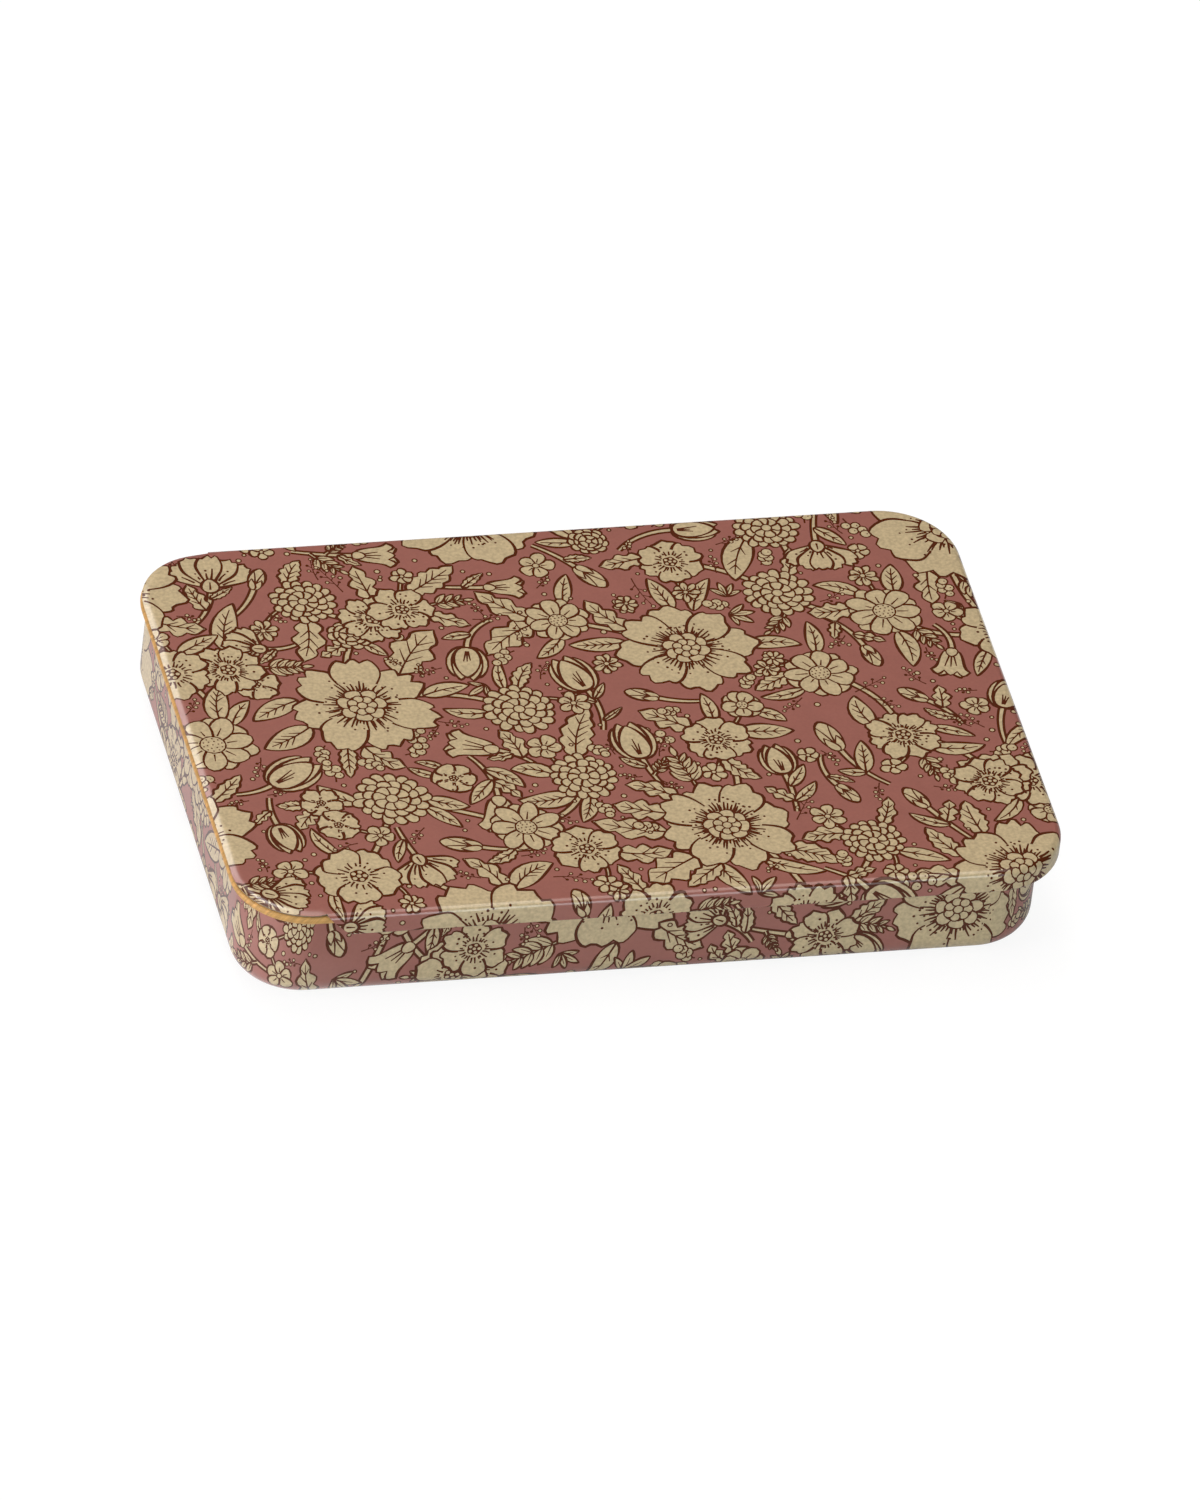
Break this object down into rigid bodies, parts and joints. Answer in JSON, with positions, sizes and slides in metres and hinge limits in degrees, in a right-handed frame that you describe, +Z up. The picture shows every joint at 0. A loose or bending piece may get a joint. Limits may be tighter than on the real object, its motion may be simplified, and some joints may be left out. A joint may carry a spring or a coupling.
{
  "type": "slide tin",
  "caption": "Flat rectangular tinplate box with rounded corners: a drawn tray with a rolled rim, and a printed lid whose skirts wrap the rim and slide off lengthwise.",
  "frame": {"origin": "on the ground, under the middle of the closed tin", "axes": "+X the way the lid slides off, along the tin's length; +Y across its width; +Z up"},
  "size_m": [0.11, 0.076, 0.0149],
  "materials": {
    "tray_tinplate": "printed tinplate with a satin varnish outside, gold lacquer inside and on the rolled rim",
    "lid_tinplate": "printed tinplate with a satin varnish outside, gold lacquer inside"
  },
  "bodies": {
    "tray": {"base_tray": "tray_tinplate"},
    "lid": {"slide_lid": "lid_tinplate"}
  },
  "joints": [
    {"name": "lid_slide", "type": "slide", "parent": "tray", "child": "lid", "axis": [1, 0, 0], "range_m": [0, 0.11]}
  ]
}
